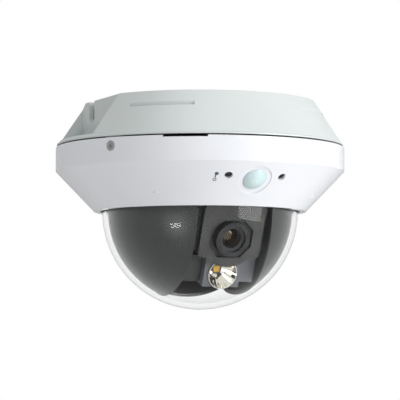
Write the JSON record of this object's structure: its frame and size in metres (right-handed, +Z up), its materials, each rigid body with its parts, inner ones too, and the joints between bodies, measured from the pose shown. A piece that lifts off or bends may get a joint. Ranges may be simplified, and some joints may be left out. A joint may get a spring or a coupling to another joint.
{
  "type": "ceiling dome camera",
  "caption": "Ceiling dome camera with a motorised pan stage, a tilting zoom lens and LED lamp behind a slotted liner, and a motion lens on its cover.",
  "frame": {"origin": "centre of the face that lies on the ceiling", "axes": "+Z up out of the ceiling face, -Y towards the motion lens, +X to the right of someone looking at the front"},
  "size_m": [0.152, 0.152, 0.109],
  "materials": {
    "white_enamel": "satin",
    "white_abs": "gloss",
    "zinc_steel": "satin",
    "clear_polycarbonate": "polished",
    "black_rubber": "matte",
    "motion_film": "satin",
    "circuit_board": "satin",
    "dark_pilot": "gloss",
    "grey_nylon": "matte",
    "black_liner": "satin",
    "black_plastic": "matte",
    "textured_black": "matte",
    "anodised_black": "satin",
    "coated_glass": "polished",
    "acetal": "satin",
    "motor_steel": "satin",
    "memory_black": "gloss",
    "chrome_reflector": "mirror",
    "yellow_phosphor": "satin"
  },
  "bodies": {
    "root": {"base_shell": "white_enamel", "cover": "white_abs", "mount_plate": "zinc_steel", "base_screws": "zinc_steel", "cover_screws": "zinc_steel", "inner_screws": "zinc_steel", "bearing_outer_race": "zinc_steel", "bearing_balls": "zinc_steel", "board_standoffs": "zinc_steel", "chassis_posts": "zinc_steel", "dome": "clear_polycarbonate", "dome_gasket": "black_rubber", "motion_lens": "motion_film", "motion_board": "circuit_board", "main_board": "circuit_board", "status_pilots": "dark_pilot", "dome_retainer": "grey_nylon", "chassis_plate": "grey_nylon", "slip_ring": "grey_nylon", "board_components": "black_plastic", "power_jack": "black_plastic", "heat_sink": "anodised_black", "pan_motor": "motor_steel", "network_jack": "motor_steel", "reset_switch": "motor_steel", "memory_card": "memory_black"},
    "pan": {"bearing_inner_race": "zinc_steel", "pan_shaft": "zinc_steel", "pan_gear": "acetal", "turntable": "grey_nylon", "yoke_left": "grey_nylon", "yoke_right": "grey_nylon", "tilt_bushes": "acetal", "liner": "black_liner", "stage_screws": "zinc_steel", "tilt_motor": "motor_steel"},
    "tilt": {"module_case": "black_plastic", "trunnion_pins": "zinc_steel", "front_bezel": "textured_black", "light_sensor": "coated_glass", "lens_barrel": "black_plastic", "lens_collar": "anodised_black", "lens_ring": "black_plastic", "front_glass": "coated_glass", "guide_rods": "zinc_steel", "filter_frame": "grey_nylon", "sensor_board": "circuit_board", "lamp_housing": "grey_nylon", "lamp_reflector": "chrome_reflector", "lamp_chip": "yellow_phosphor", "cheek_left": "black_plastic", "cheek_right": "grey_nylon", "tilt_gear": "acetal"},
    "pan_pinion": {"pan_pinion": "acetal"},
    "tilt_pinion": {"tilt_pinion": "acetal"},
    "zoom": {"zoom_group": "black_plastic"},
    "focus": {"focus_group": "black_plastic"},
    "filter": {"ir_filter": "coated_glass"},
    "reset": {"reset_button": "black_plastic"}
  },
  "joints": [
    {"name": "pan", "type": "hinge", "parent": "root", "child": "pan", "pos_m": [0, 0, 0], "axis": [0, 0, 1], "range_deg": [-175, 175]},
    {"name": "pan_pinion_spin", "type": "hinge", "parent": "root", "child": "pan_pinion", "pos_m": [0, 0.042, -0.03], "axis": [0, 0, 1], "range_deg": [-1055, 1055]},
    {"name": "tilt", "type": "hinge", "parent": "pan", "child": "tilt", "pos_m": [0, 0, -0.0575], "axis": [1, 0, 0], "range_deg": [-17, 46]},
    {"name": "tilt_pinion_spin", "type": "hinge", "parent": "pan", "child": "tilt_pinion", "pos_m": [0, 0.01801, -0.0471], "axis": [1, 0, 0], "range_deg": [-155, 60]},
    {"name": "zoom", "type": "slide", "parent": "tilt", "child": "zoom", "axis": [0, -0.9272, -0.3746], "range_m": [-0.005, 0.006]},
    {"name": "focus", "type": "slide", "parent": "tilt", "child": "focus", "axis": [0, -0.9272, -0.3746], "range_m": [-0.0015, 0.0015]},
    {"name": "day_night", "type": "slide", "parent": "tilt", "child": "filter", "axis": [1, 0, 0], "range_m": [0, 0.0075]},
    {"name": "reset_press", "type": "slide", "parent": "root", "child": "reset", "axis": [0, 0, 1], "range_m": [0, 0.0004], "stiffness_N_per_m": 300, "springref_m": -0.0005}
  ],
  "couplings": [
    {"joint": "pan_pinion_spin", "follows": "pan", "ratio": -6},
    {"joint": "tilt_pinion_spin", "follows": "tilt", "ratio": -3.3333}
  ]
}
